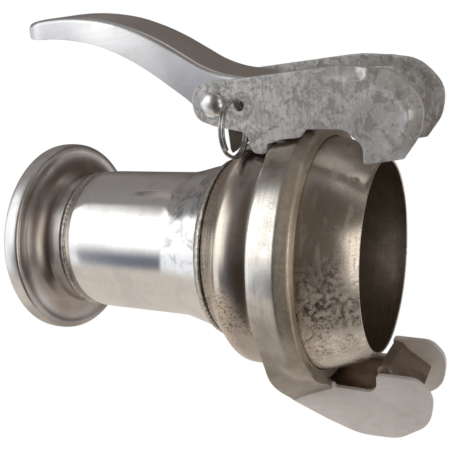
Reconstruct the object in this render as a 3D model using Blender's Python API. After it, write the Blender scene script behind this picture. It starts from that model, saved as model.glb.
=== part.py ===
"""Ball-and-lever quick coupling for 76 mm steel pipe: a pressed ball end with a turning closure ring.

Frame: metres, +Z up. The origin is the centre of the ball, on the pipe axis. +X runs along the pipe
towards the open mouth, +Z towards the lever, and -Y is the side of the safety ring ("near").
"""
import math

import bmesh
import bpy
from mathutils import Matrix, Vector

MM = 0.001
FIT = 0.3  # gap left between touching pieces, mm
TURN = 44  # steps in a full turn of the large round pieces
SMALL = 20  # steps in a full turn of pins, holes and washers

# Ball and pipe
BALL_R = 56.9  # outside of the ball
BALL_WALL = 2.0
MOUTH_X = 33.2  # plane of the open mouth
BARREL_X = -12.6  # where the barrel behind the equator runs into the sphere
REAR_X = -42.0  # back of the ball shell
CONE_R = 44.25  # end of the cone inside the shell's rear hole
TUBE_R = 38.05  # 76.1 mm tube
TUBE_WALL = 2.0
TUBE_END_X = -127.3
CONE_START_X = -70.0
# Inlet flange
NECK_R = 35.7
NECK_IN_X = -112.0
RIM_R = 53.3
RIM_X = -155.4
SEAT_R = 49.6  # wall of the seal's seat
SEAT_X = -149.2  # floor of the seal's seat
SEAL_R, SEAL_T = 46.4, 2.9
# Closure ring
RING_IN_R = 57.25
RING_OUT_R = 63.7
RING_X0, RING_X1 = -11.8, 8.8
# Lever, claws and hook: positions are (x, z)
LEVER_PIVOT = (-1.5, 73.5)
CLAW_PIVOT = (-37.2, 77.7)
LUG_Y, LUG_T, LUG_R = 11.6, 3.0, 7.2
LEVER_Y, LEVER_T = 14.5, 2.4
LEVER_EYE_R = 9.4
WEB_END_X = -10.5
CLAW_Y, CLAW_T = 21.3, 2.6
HOOK_Y, HOOK_T = 19.2, 3.0
TONGUE_Y = 22.3
PULL_X = 31.2  # faces that pull on the mate's rim
PIN_R, PIN_HEAD_R, PIN_HEAD_T = 3.8, 6.2, 2.1
RIVET_R, DOME_R, DOME_H = 3.1, 6.0, 3.9
TIE_AT, TIE_R = (44.6, 56.2), 3.2
# Safety ring: a split ring of flat wire, two turns
SPLIT_HOLE, SPLIT_HOLE_R = (-24.5, 76.8), 2.6
SPLIT_R, SPLIT_WIRE, SPLIT_PITCH = 12.5, (1.3, 1.1), 1.4
SPLIT_LEAN = math.radians(42)  # the ring leans outwards until it rests on the lever

STEEL = ("bright_steel", (0.62, 0.58, 0.53), 0.28, 1.0)
BALL = ("ball_steel", (0.60, 0.54, 0.47), 0.36, 1.0)
ZINC = ("zinc_plate", (0.52, 0.54, 0.53), 0.52, 1.0)
RING = ("ring_steel", (0.58, 0.55, 0.50), 0.34, 1.0)
HANDLE = ("handle_zinc", (0.60, 0.58, 0.56), 0.30, 1.0)
RIVET = ("rivet_steel", (0.72, 0.72, 0.70), 0.25, 1.0)
WELD = ("weld_bead", (0.45, 0.42, 0.38), 0.50, 1.0)
RUBBER = ("seal_rubber", (0.02, 0.02, 0.02), 0.75, 0.0)

for old in list(bpy.data.objects):
    bpy.data.objects.remove(old, do_unlink=True)


def material(look):
    name, colour, rough, metal = look
    mat = bpy.data.materials.get(name)
    if mat is None:
        mat = bpy.data.materials.new(name)
        mat.use_nodes = True
        bsdf = mat.node_tree.nodes["Principled BSDF"]
        bsdf.inputs["Base Color"].default_value = (*colour, 1.0)
        bsdf.inputs["Roughness"].default_value = rough
        bsdf.inputs["Metallic"].default_value = metal
    return mat


def finish(name, bm, look, parent, origin=(0, 0, 0), sharp=32):
    """Closes a bmesh into an object whose origin is the given point, in mm."""
    bmesh.ops.remove_doubles(bm, verts=bm.verts, dist=1e-4)
    bmesh.ops.recalc_face_normals(bm, faces=bm.faces)
    mesh = bpy.data.meshes.new(name)
    bmesh.ops.transform(bm, matrix=Matrix.Translation(-Vector(origin)), verts=bm.verts)
    bmesh.ops.scale(bm, vec=(MM, MM, MM), verts=bm.verts)
    bm.to_mesh(mesh)
    bm.free()
    mesh.shade_smooth()
    mesh.set_sharp_from_angle(angle=math.radians(sharp))
    obj = bpy.data.objects.new(name, mesh)
    bpy.context.scene.collection.objects.link(obj)
    obj.location = Vector(origin) * MM
    if look is not None:
        mesh.materials.append(material(look))
    if parent is not None:
        obj.parent = parent
        obj.matrix_parent_inverse = Matrix.Translation(-parent.location)
    return obj


def cut(obj, cutter):
    """Cuts a helper object away from obj with an exact Boolean."""
    cutter.hide_render = True
    cutter.display_type = "WIRE"
    mod = obj.modifiers.new("cut_" + cutter.name, "BOOLEAN")
    mod.operation = "DIFFERENCE"
    mod.solver = "EXACT"
    mod.object = cutter


def turned(name, profile, look, parent, centre=(0, 0, 0), axis="X", steps=TURN):
    """A closed (along, radius) profile, spun a full turn about X, or about Y for pins."""
    bm = bmesh.new()
    if axis == "X":
        verts = [bm.verts.new((a, 0, r)) for a, r in profile]
        turn_axis = (1, 0, 0)
    else:
        verts = [bm.verts.new((0, a, r)) for a, r in profile]
        turn_axis = (0, 1, 0)
    edges = [bm.edges.new((verts[i - 1], verts[i])) for i in range(len(verts))]
    bmesh.ops.spin(
        bm, geom=verts + edges, cent=(0, 0, 0), axis=turn_axis,
        angle=2 * math.pi, steps=steps, use_merge=True,
    )
    bmesh.ops.transform(bm, matrix=Matrix.Translation(centre), verts=bm.verts)
    return finish(name, bm, look, parent, centre)


def shaft(name, profile, look, parent, centre, steps=SMALL):
    """A solid of revolution about Y from an open (along, radius) profile that ends on the axis."""
    bm = bmesh.new()
    rings = []
    for a, r in profile:
        if r < 1e-6:
            rings.append([bm.verts.new((0, a, 0))])
            continue
        angles = [2 * math.pi * k / steps for k in range(steps)]
        rings.append([bm.verts.new((r * math.cos(t), a, r * math.sin(t))) for t in angles])
    for one, two in zip(rings, rings[1:]):
        for k in range(steps):
            n = (k + 1) % steps
            if len(one) == 1:
                bm.faces.new((one[0], two[k], two[n]))
            elif len(two) == 1:
                bm.faces.new((one[k], two[0], one[n]))
            else:
                bm.faces.new((one[k], two[k], two[n], one[n]))
    bmesh.ops.transform(bm, matrix=Matrix.Translation(centre), verts=bm.verts)
    return finish(name, bm, look, parent, centre)


def filleted(corners, step=math.radians(19)):
    """Outline points of a polygon whose (x, z, radius) corners are rounded off."""
    points = []
    for i, (x, z, radius) in enumerate(corners):
        here = Vector((x, z))
        back = Vector(corners[i - 1][:2]) - here
        on = Vector(corners[(i + 1) % len(corners)][:2]) - here
        turn = math.pi - back.angle(on)
        reach = radius * math.tan(turn / 2)
        reach = min(reach, 0.49 * back.length, 0.49 * on.length)
        if radius <= 0 or turn < 1e-3:
            points.append(here)
            continue
        radius = reach / math.tan(turn / 2)
        a, b = here + back.normalized() * reach, here + on.normalized() * reach
        middle = here + (back.normalized() + on.normalized()).normalized() * (
            radius / math.cos(turn / 2)
        )
        steps = max(1, math.ceil(turn / step))
        va, vb = a - middle, b - middle
        sweep = math.atan2(va.x * vb.y - va.y * vb.x, va.dot(vb))
        for k in range(steps + 1):
            points.append(middle + Matrix.Rotation(sweep * k / steps, 2) @ va)
    return [(p.x, p.y) for p in points]


def plate(name, outline, y0, y1, look, parent, origin=(0, 0, 0), edge=0.35):
    """An (x, z) outline made solid from y0 to y1, its rims rounded by edge."""
    bm = bmesh.new()
    face = bm.faces.new([bm.verts.new((x, y0, z)) for x, z in outline])
    made = bmesh.ops.extrude_face_region(bm, geom=[face])
    moved = [v for v in made["geom"] if isinstance(v, bmesh.types.BMVert)]
    bmesh.ops.translate(bm, vec=(0, y1 - y0, 0), verts=moved)
    bmesh.ops.recalc_face_normals(bm, faces=bm.faces)
    if edge:
        rims = [e for e in bm.edges if abs(e.verts[0].co.y - e.verts[1].co.y) < 1e-6]
        bmesh.ops.bevel(bm, geom=rims, offset=edge, segments=1, affect="EDGES", profile=0.5)
    return finish(name, bm, look, parent, origin)


def bore(name, at, radius, y0, y1, steps=SMALL):
    """A cylinder along Y, used as a cutter for holes."""
    profile = [(y0, 0), (y0, radius), (y1, radius), (y1, 0)]
    return shaft(name, profile, None, None, (at[0], 0, at[1]), steps)


def chain(points, x):
    """Height at x of a smooth curve through (x, z) points, by Catmull-Rom."""
    i = 0
    while i < len(points) - 2 and x > points[i + 1][0]:
        i += 1
    p1, p2 = points[i], points[i + 1]
    p0 = points[i - 1] if i else p1
    p3 = points[i + 2] if i + 2 < len(points) else p2
    m1 = (p2[1] - p0[1]) / (p2[0] - p0[0])
    m2 = (p3[1] - p1[1]) / (p3[0] - p1[0])
    span = p2[0] - p1[0]
    t = (x - p1[0]) / span
    h1, h2 = 2 * t**3 - 3 * t**2 + 1, t**3 - 2 * t**2 + t
    h3, h4 = -2 * t**3 + 3 * t**2, t**3 - t**2
    return h1 * p1[1] + h2 * span * m1 + h3 * p2[1] + h4 * span * m2


def loft(name, sections, look, parent, origin=(0, 0, 0), sharp=32):
    """Joins rings of equal length into one closed skin."""
    bm = bmesh.new()
    rings = [[bm.verts.new(p) for p in ring] for ring in sections]
    count = len(rings[0])
    for one, two in zip(rings, rings[1:]):
        for k in range(count):
            n = (k + 1) % count
            bm.faces.new((one[k], one[n], two[n], two[k]))
    bm.faces.new(rings[0])
    bm.faces.new(list(reversed(rings[-1])))
    return finish(name, bm, look, parent, origin, sharp)


def joint(name, at):
    """An empty on a joint's axis, which carries the pieces that turn about it."""
    empty = bpy.data.objects.new(name, None)
    empty.empty_display_size = 0.01
    bpy.context.scene.collection.objects.link(empty)
    empty.location = Vector(at) * MM
    return empty


ring_axis = joint("ring_axis", (0, 0, 0))
lever_axis = joint("lever_axis", (LEVER_PIVOT[0], 0, LEVER_PIVOT[1]))
claw_axis = joint("claw_axis", (CLAW_PIVOT[0], 0, CLAW_PIVOT[1]))
split_axis = joint("split_axis", (SPLIT_HOLE[0], -CLAW_Y, SPLIT_HOLE[1]))

# --- Ball shell: pressed shoulder and barrel, then the sphere out to the mouth ---
a0 = math.asin(BARREL_X / BALL_R)
a1 = math.asin(MOUTH_X / BALL_R)
inner_r = BALL_R - BALL_WALL
a1_in = math.asin((MOUTH_X - 5.0) / inner_r)
sphere = [a0 + (a1 - a0) * k / 7 for k in range(8)]
sphere_in = [a0 + (a1_in - a0) * k / 4 for k in range(5)]
barrel = [(REAR_X, CONE_R + FIT), (-41.2, 45.5), (-38.6, 47.3), (-35.6, 50.0), (-32.6, 53.0)]
barrel += [(-30.4, 55.1), (-28.4, 56.5), (-26.0, 57.15), (-22.5, 57.25), (-18.5, 56.7), (-15.0, 55.9)]


def inset(points, depth):
    """An open profile moved inwards, towards the axis, by a wall thickness."""
    moved = []
    for i, (x, r) in enumerate(points):
        (xa, ra), (xb, rb) = points[max(i - 1, 0)], points[min(i + 1, len(points) - 1)]
        length = math.hypot(xb - xa, rb - ra)
        moved.append((x + depth * (rb - ra) / length, r - depth * (xb - xa) / length))
    return moved


skin = barrel + [(BALL_R * math.sin(a), BALL_R * math.cos(a)) for a in sphere]
skin += [(MOUTH_X + 0.4, 45.7)]
inside = [(MOUTH_X, 45.2)]  # the lip is thinned from inside
inside += [(inner_r * math.sin(a), inner_r * math.cos(a)) for a in reversed(sphere_in)]
inside += inset(barrel, BALL_WALL)[:1:-1]
inside += [(REAR_X + 2.2, CONE_R + FIT)]
turned("ball_shell", skin + inside, BALL, None)

# --- Reducer tube: straight tube and flare, welded into the shell ---
flare = [(CONE_START_X, 0), (-65.5, 0.4), (-61.0, 1.35), (-55.0, 2.9), (-50.0, 4.1), (-45.0, 5.4)]
flare += [(-42.5, 6.1)]
outer = [(TUBE_END_X, TUBE_R)] + [(x, TUBE_R + rise) for x, rise in flare]
outer += [(REAR_X + 3.0, CONE_R)]
inner = [(x, r - TUBE_WALL) for x, r in reversed(outer)]
turned("reducer_tube", outer + inner, STEEL, None)
turned(
    "ball_weld",
    [(-42.35, 44.6), (-42.35, 45.9), (-43.4, 45.6), (-44.7, 44.9), (-45.9, 43.8), (-43.9, 44.3)],
    WELD, None,
)

# --- Inlet flange: neck inside the tube, flared to a rolled rim with a seal seat ---
neck_in = NECK_R - 2.0
flange = [(NECK_IN_X, NECK_R), (-136.0, NECK_R), (-139.5, 36.5), (-142.2, 39.0), (-143.7, 43.0)]
flange += [(-144.9, 45.4), (-145.3, 48.6), (-145.6, 51.2), (-146.4, 52.8), (-149.0, RIM_R)]
flange += [(-153.6, 52.9), (RIM_X, 51.2), (RIM_X, SEAT_R), (SEAT_X, SEAT_R), (SEAT_X, 41.0)]
flange += [(-145.8, 38.3), (-141.5, 34.9), (-137.5, neck_in), (NECK_IN_X, neck_in)]
turned("inlet_flange", flange, STEEL, None)
turned(
    "inlet_weld",
    [(TUBE_END_X - FIT, 36.05), (TUBE_END_X - FIT, 37.9), (-129.6, 37.6), (-131.6, 36.05)],
    WELD, None,
)
ring_of = [2 * math.pi * k / 8 for k in range(8)]
turned(
    "inlet_seal",
    [(SEAT_X - FIT - SEAL_T + SEAL_T * math.cos(t), SEAL_R + SEAL_T * math.sin(t)) for t in ring_of],
    RUBBER, None, steps=36,
)

# --- Closure ring: a band with a spherical inside, so that it turns on the ball ---
b0, b1 = math.asin(RING_X0 / RING_IN_R), math.asin(RING_X1 / RING_IN_R)
seat = [b0 + (b1 - b0) * k / 3 for k in range(4)]
band = [(RING_IN_R * math.sin(b), RING_IN_R * math.cos(b)) for b in seat]
crown = [(RING_X0, 60.4), (-10.9, 61.7), (-6.0, 62.7), (-1.0, 63.4), (1.8, RING_OUT_R), (4.4, 63.2)]
crown += [(7.6, 62.2), (RING_X1, 60.4)]
turned("closure_ring", band + crown[::-1], RING, ring_axis)


def ring_radius(x):
    """Outside radius of the closure ring at x."""
    for (x0, r0), (x1, r1) in zip(crown, crown[1:]):
        if x0 <= x <= x1:
            return r0 + (r1 - r0) * (x - x0) / (x1 - x0)
    return crown[0][1]


# --- Hook under the ring: two plates, a bent web between them, and the ring's tongues ---
hook = filleted([
    (-12.5, -62.0, 1), (9.4, -62.0, 1), (10.6, -63.6, 1), (PULL_X, -63.6, 5), (PULL_X, -53.6, 2),
    (50.5, -53.6, 8), (58.0, -61.5, 12), (56.0, -77.0, 14), (41.0, -87.4, 16), (22.0, -88.6, 30),
    (5.0, -82.8, 30), (-14.0, -74.8, 12), (-17.0, -69.0, 4),
])
FAR_RISE = 1.4  # the far plate's tip stands a little higher than the near one's
taller = [(x, z + FAR_RISE * min(max((z + 75) / 15, 0), 1) * (x > PULL_X - 0.1)) for x, z in hook]
sides = (("near", -1), ("far", 1))
# The strap's outer line below the ring, at its rear edge and at its front edge: (outwards, z)
REAR_LINE = [(50.4, -36.5), (46.6, -46.4), (41.0, -54.2), (33.8, -61.7), (26.6, -68.2), (22.5, -71.9)]
FRONT_LINE = [(44.0, -44.0), (38.4, -49.4), (34.0, -53.2), (29.0, -56.4), (24.9, -59.0), (22.5, -60.6)]
# x, and how far the strap's rim is rounded off there
STATIONS = [(-12.6, 1.6), (RING_X0, 0.5), (-10.9, 0), (-6.0, 0), (-1.0, 0), (1.8, 0), (4.4, 0.1)]
STATIONS += [(7.6, 0.9), (8.4, 1.7)]


def strap(name, s):
    """The ring's band drawn off it at a tangent and laid over the hook plate."""
    sections = []
    for x, round_off in STATIONS:
        across = min(max((x - RING_X0) / (RING_X1 - RING_X0), 0), 1)
        under = ring_radius(x) + 0.38
        over = under + 0.8 - 0.25 * round_off
        lead = math.radians(21 + 20 * across)
        ring = [(over * math.cos(t), -over * math.sin(t)) for t in (lead - 0.06, lead + 0.05)]
        for (ya, za), (yb, zb) in zip(REAR_LINE, FRONT_LINE):
            y, z = ya + (yb - ya) * across**0.85, za + (zb - za) * across**0.85
            out = max(math.hypot(y, z) - 0.5 * round_off, over + 0.15) / math.hypot(y, z)
            ring.append((y * out, z * out))
        low = ring[-1][1] - 1.3
        ring[-1] = (min(ring[-1][0], TONGUE_Y), ring[-1][1])
        ring += [(TONGUE_Y - 0.9, low), (HOOK_Y + FIT, low + 0.4)]
        start = math.asin(min((HOOK_Y + FIT) / under, 1))
        back = [math.pi / 2 - start + (lead - 0.06 - math.pi / 2 + start) * k / 7 for k in range(8)]
        ring += [(under * math.cos(t), -under * math.sin(t)) for t in back]
        sections.append([(x, s * y, z) for y, z in ring])
    loft(name, sections, RING, ring_axis)


for side, s in sides:
    tall = hook if side == "near" else taller
    plate(f"hook_plate_{side}", tall, s * HOOK_Y, s * (HOOK_Y - HOOK_T), ZINC, ring_axis)
    strap(f"ring_tongue_{side}", s)
    toe = HOOK_Y - HOOK_T - FIT
    bead = [(toe, -62.3), (toe, -65.0), (toe - 1.2, -63.8), (toe - 2.6, -62.7)]
    loft(
        f"hook_weld_{side}",
        [[(x, s * y, z) for y, z in bead] for x in (-10.0, -8.0, 5.5, 7.0)],
        WELD, ring_axis,
    )
web_y = HOOK_Y - HOOK_T - FIT
web = filleted([
    (PULL_X, -66.0, 0), (PULL_X, -50.0, 3.2), (36.4, -50.2, 3), (40.5, -58.0, 9), (50.5, -66.0, 0.6),
    (49.2, -68.2, 0.6), (38.0, -59.4, 9), (PULL_X + 2.6, -52.5, 1.2), (PULL_X + 2.6, -66.0, 0),
])
plate("hook_web", web, -web_y, web_y, ZINC, ring_axis, edge=0.3)
floor = filleted([
    (-11.0, -68.0, 1), (-8.0, -65.4, 3), (30.8, -65.4, 0.8), (30.8, -67.8, 0.8), (-7.0, -67.8, 3),
    (-9.4, -70.0, 1),
])
plate("hook_floor", floor, -web_y, web_y, ZINC, ring_axis, edge=0.3)

# --- Lugs on top of the ring, with the pin that the lever turns on ---
lever_x, lever_z = LEVER_PIVOT
lug = filleted([
    (lever_x - 9.0, 63.5, 0), (lever_x + 9.0, 63.5, 0), (lever_x + LUG_R + 0.4, lever_z + LUG_R, LUG_R),
    (lever_x - LUG_R - 0.4, lever_z + LUG_R, LUG_R),
])
for side, s in sides:
    piece = plate(f"lever_lug_{side}", lug, s * LUG_Y, s * (LUG_Y - LUG_T), RING, ring_axis)
    cut(piece, bore(f"lug_bore_{side}", LEVER_PIVOT, PIN_R + FIT, s * 5, s * 16))
    toe = LUG_Y - LUG_T - FIT
    bead = [(toe, 63.75), (toe, 66.0), (toe - 0.9, 64.9), (toe - 2.3, 63.95)]
    loft(
        f"lug_weld_{side}",
        [[(lever_x + x, s * y, z) for y, z in bead] for x in (-7.5, -6.0, 6.0, 7.5)],
        WELD, ring_axis,
    )
head = LEVER_Y + FIT
pin = [(0, 0)]
pin_half = [(head + PIN_HEAD_T, 0), (head + PIN_HEAD_T, 3.6), (head + 1.2, 5.8), (head, PIN_HEAD_R)]
pin_half += [(head, PIN_R)]
pin = [(-y, r) for y, r in pin_half] + [(y, r) for y, r in reversed(pin_half)]
shaft("lever_pin", pin, RIVET, ring_axis, (lever_x, 0, lever_z))

# --- Lever: a pressed channel, open below, sweeping up to a level grip with a closed end ---
LEVER_TOP = [
    (-149.0, 118.4), (-142.0, 121.0), (-128.0, 122.3), (-110.0, 121.4), (-92.0, 118.0),
    (-78.0, 113.0), (-66.0, 107.2), (-55.0, 100.6), (-45.0, 94.6), (-34.0, 90.4), (-18.0, 87.4),
    (-9.0, 85.0),
]
LEVER_LOW = [
    (-149.0, 115.2), (-140.0, 113.0), (-123.0, 112.0), (-105.0, 108.8), (-93.5, 104.8),
    (-83.0, 99.8), (-72.5, 93.4), (-63.5, 87.0), (-55.0, 80.4), (-48.0, 74.0), (-41.0, 69.8),
    (-34.0, 68.3), (-20.0, 67.3), (-9.0, 66.4),
]
# Heel: the flanges reach down here, just clear of the ball
HEEL = [
    (-34.6, 68.4), (-34.2, 55.2), (-33.4, 53.4), (-31.8, 54.2), (-29.0, 56.9), (-25.0, 58.6),
    (-18.0, 58.8), (-15.8, 59.8), (-14.6, 62.2), (-14.0, 66.8),
]
TIP_X, TIP_R = -149.0, 14.5


def lever_top(x):
    if x <= -9.0:
        return chain(LEVER_TOP, x)
    if x < lever_x:
        return 85.0 + (lever_z + LEVER_EYE_R - 85.0) * (x + 9.0) / (lever_x + 9.0)
    return lever_z + math.sqrt(max(LEVER_EYE_R**2 - (x - lever_x) ** 2, 0))


def lever_low(x):
    for (x0, z0), (x1, z1) in zip(HEEL, HEEL[1:]):
        if x0 <= x <= x1:
            return z0 + (z1 - z0) * (x - x0) / (x1 - x0)
    if x <= -9.0:
        return chain(LEVER_LOW, x)
    if x < lever_x:
        return 66.4 + (lever_z - LEVER_EYE_R - 66.4) * (x + 9.0) / (lever_x + 9.0)
    return lever_z - math.sqrt(max(LEVER_EYE_R**2 - (x - lever_x) ** 2, 0))


def half_width(x, radius, tip, full):
    """Half the channel's width: full, and rounded off in plan at the tip."""
    back = tip + radius - x
    return full if back <= 0 else max(math.sqrt(max(radius**2 - back**2, 0)), 0.02)


def channel(x, y, low, top, round_r):
    """One cross-section: a block with two rounded upper corners."""
    r = min(round_r, y * 0.9, (top - low) * 0.6)
    turn = [math.radians(30 * k) for k in range(4)]
    right = [(x, y - r + r * math.cos(t), top - r + r * math.sin(t)) for t in turn]
    left = [(x, -y + r - r * math.sin(t), top - r + r * math.cos(t)) for t in turn]
    return [(x, y, low)] + right + left + [(x, -y, low)]


def spread(x0, x1, steps):
    return [x0 + (x1 - x0) * k / steps for k in range(steps + 1)]


tip_steps = [TIP_X + TIP_R * (1 - math.cos(math.radians(t))) for t in (9, 22, 36, 52, 70, 90)]
eye_steps = [lever_x + LEVER_EYE_R * math.sin(math.radians(t)) for t in (0, 20, 40, 58, 74, 86)]
heel_steps = [x for x, _ in HEEL]
stations = tip_steps + spread(-131.0, -38.0, 14) + heel_steps + [-11.5, -9.0] + eye_steps
lever = loft(
    "lever_handle",
    [
        channel(x, half_width(x, TIP_R, TIP_X, LEVER_Y), lever_low(x), lever_top(x), 4.0)
        for x in stations
    ],
    HANDLE, lever_axis, (lever_x, 0, lever_z),
)
room_tip, room_r = TIP_X + LEVER_T, TIP_R - LEVER_T
room = [room_tip + room_r * (1 - math.cos(math.radians(t))) for t in (14, 30, 48, 68, 90)]
room += spread(-131.0, -38.0, 14) + heel_steps + [-12.0, WEB_END_X]


def under_web(x):
    slope = lever_top(x + 0.5) - lever_top(x - 0.5)
    return lever_top(x) - LEVER_T * math.sqrt(1 + slope**2)


hollow = [
    channel(x, half_width(x, room_r, room_tip, LEVER_Y - LEVER_T), lever_low(x) - 6, under_web(x), 2.2)
    for x in room
]
hollow += [channel(x, LEVER_Y - LEVER_T, 50.0, 94.0, 2.2) for x in (WEB_END_X + 0.1, lever_x + 16)]
cut(lever, loft("lever_room", hollow, None, None))
cut(lever, bore("lever_pin_bore", LEVER_PIVOT, PIN_R + FIT, -20, 20))
cut(lever, bore("lever_rivet_bore", CLAW_PIVOT, RIVET_R + FIT, -20.5, 20.5))

# --- Claws: two plates on a rivet through the lever, joined at their tips by a bar ---
cx, cz = CLAW_PIVOT
claw = filleted([
    (-47.9, 87.0, 9.6), (23.0, 92.0, 60), (45.5, 88.6, 16), (57.0, 75.5, 16), (55.2, 62.5, 16),
    (48.3, 52.5, 1), (PULL_X, 49.8, 1.2), (PULL_X, 58.0, 5), (23.5, 65.3, 7), (6.4, 65.6, 2),
    (3.4, 62.0, 1.5), (-5.5, 61.2, 8), (-12.4, 59.2, 1), (-13.0, 54.6, 2.4), (-19.8, 54.8, 3.4),
    (-22.0, 64.5, 4), (-38.0, 67.8, 14), (-47.7, 71.5, 11.5),
])
FAR_NOSE = 2.0  # the far plate's nose reaches further than the near one's
fuller = [(x + FAR_NOSE * min(max((x - 24.0) / 26.0, 0), 1), z) for x, z in claw]
for side, s in sides:
    outline = claw if side == "near" else fuller
    piece = plate(
        f"claw_plate_{side}", outline, s * CLAW_Y, s * (CLAW_Y - CLAW_T), ZINC, claw_axis,
        (cx, 0, cz), edge=0.45,
    )
    cut(piece, bore(f"claw_bore_{side}", CLAW_PIVOT, RIVET_R + FIT, s * 12, s * 28))
    cut(piece, bore(f"split_bore_{side}", SPLIT_HOLE, SPLIT_HOLE_R, s * 11, s * 29))
    w0, w1 = LEVER_Y + FIT, CLAW_Y - CLAW_T - FIT
    ring = [(s * w0, 3.4), (s * w0, 7.2), (s * w1, 7.2), (s * w1, 3.4)]
    turned(f"claw_washer_{side}", ring, RIVET, claw_axis, (cx, 0, cz), "Y", SMALL)
base = CLAW_Y + FIT
dome = [(base + DOME_H, 0)]
dome += [
    (base + 0.5 + (DOME_H - 0.5) * math.cos(t), DOME_R * math.sin(t))
    for t in (math.radians(22), math.radians(44), math.radians(66), math.radians(88))
]
dome += [(base, DOME_R - 0.2), (base, RIVET_R)]
rivet = [(-y, r) for y, r in dome] + [(y, r) for y, r in reversed(dome)]
shaft("claw_rivet", rivet, RIVET, claw_axis, (cx, 0, cz), 28)
inner_y = LEVER_Y - LEVER_T - FIT
sleeve = [(-inner_y, 3.45), (-inner_y, 5.2), (inner_y, 5.2), (inner_y, 3.45)]
turned("rivet_spacer", sleeve, STEEL, lever_axis, (cx, 0, cz), "Y", SMALL)
tie_y = CLAW_Y - CLAW_T - FIT
bar = [(-tie_y, 0), (-tie_y, TIE_R - 0.5), (-tie_y + 0.5, TIE_R)]
shaft(
    "claw_tie_bar", bar + [(-y, r) for y, r in reversed(bar)], STEEL, claw_axis,
    (TIE_AT[0], 0, TIE_AT[1]), 16,
)

# --- Safety ring: two turns of flat wire through the near plate's small hole ---
hx, hz = SPLIT_HOLE
mid_y = -CLAW_Y + CLAW_T / 2
centre_y = mid_y - SPLIT_R * math.sin(SPLIT_LEAN)
centre_z = hz + 0.2 - SPLIT_R * math.cos(SPLIT_LEAN)
half_r, half_a = SPLIT_WIRE[0] / 2, SPLIT_WIRE[1] / 2
cross = math.radians(22)  # half of the stretch where the wire steps over to the second turn
coils = []
for k in range(53):
    t = cross + (4 * math.pi - 2 * cross) * k / 52
    step = min(max((t - 2 * math.pi + cross) / (2 * cross), 0), 1)
    along = SPLIT_PITCH * (step * step * (3 - 2 * step) - 0.5)
    t += math.radians(235)
    coils.append([
        (hx + along + da, centre_y + (SPLIT_R + dr) * math.cos(t), centre_z + (SPLIT_R + dr) * math.sin(t))
        for dr, da in ((-half_r, -half_a), (half_r, -half_a), (half_r, half_a), (-half_r, half_a))
    ])
loft("safety_ring", coils, RIVET, split_axis, (hx, -CLAW_Y, hz), sharp=50)
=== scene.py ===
"""The lever-ring ball coupling on its CAD frame: smooth skins, procedural metals, soft studio light."""

import math

import bmesh
import bpy
import numpy as np
from mathutils import Matrix, Vector, noise


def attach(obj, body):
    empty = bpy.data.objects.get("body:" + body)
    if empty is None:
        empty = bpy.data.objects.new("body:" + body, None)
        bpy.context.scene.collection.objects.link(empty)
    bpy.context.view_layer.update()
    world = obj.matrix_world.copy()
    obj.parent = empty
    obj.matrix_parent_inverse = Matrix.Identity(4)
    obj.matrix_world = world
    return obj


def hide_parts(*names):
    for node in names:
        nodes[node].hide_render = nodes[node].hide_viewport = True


MM = 0.001
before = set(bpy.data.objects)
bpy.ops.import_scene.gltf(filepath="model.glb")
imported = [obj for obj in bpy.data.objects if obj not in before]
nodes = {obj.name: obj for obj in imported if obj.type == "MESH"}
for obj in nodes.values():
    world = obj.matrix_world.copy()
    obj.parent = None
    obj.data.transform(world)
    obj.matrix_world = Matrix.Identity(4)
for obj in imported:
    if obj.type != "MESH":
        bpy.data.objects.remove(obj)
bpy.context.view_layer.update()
scene = bpy.context.scene


# --- Shader graphs ---------------------------------------------------------------------------
class Graph:
    """Short names for building a node tree."""

    def __init__(self, tree):
        self.tree = tree

    def add(self, kind, **settings):
        node = self.tree.nodes.new(kind)
        for key, value in settings.items():
            setattr(node, key, value)
        return node

    def put(self, socket, value):
        if isinstance(value, bpy.types.NodeSocket):
            self.tree.links.new(value, socket)
        else:
            socket.default_value = value

    def math(self, op, a, b=0.0, c=0.0, clamp=False):
        node = self.add("ShaderNodeMath", operation=op, use_clamp=clamp)
        for socket, value in zip(node.inputs, (a, b, c)):
            self.put(socket, value)
        return node.outputs[0]

    def ramp(self, value, low, high, to_low=0.0, to_high=1.0):
        node = self.add("ShaderNodeMapRange", interpolation_type="SMOOTHSTEP")
        for key, item in zip(
            ("Value", "From Min", "From Max", "To Min", "To Max"), (value, low, high, to_low, to_high)
        ):
            self.put(node.inputs[key], item)
        return node.outputs[0]

    def mix(self, factor, a, b, mode="MIX"):
        node = self.add("ShaderNodeMix", data_type="RGBA", blend_type=mode)
        self.put(node.inputs[0], factor)
        for socket, value in ((node.inputs[6], a), (node.inputs[7], b)):
            self.put(socket, value if isinstance(value, bpy.types.NodeSocket) else (*value, 1.0))
        return node.outputs[2]

    def noise(self, vector, scale, detail=4.0, rough=0.55, distort=0.0):
        node = self.add("ShaderNodeTexNoise")
        self.put(node.inputs["Vector"], vector)
        keys = ("Scale", "Detail", "Roughness", "Distortion")
        for key, value in zip(keys, (scale, detail, rough, distort)):
            node.inputs[key].default_value = value
        return node.outputs["Fac"]

    def stretch(self, vector, scale):
        node = self.add("ShaderNodeMapping")
        self.put(node.inputs["Vector"], vector)
        node.inputs["Scale"].default_value = scale
        return node.outputs["Vector"]


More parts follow.
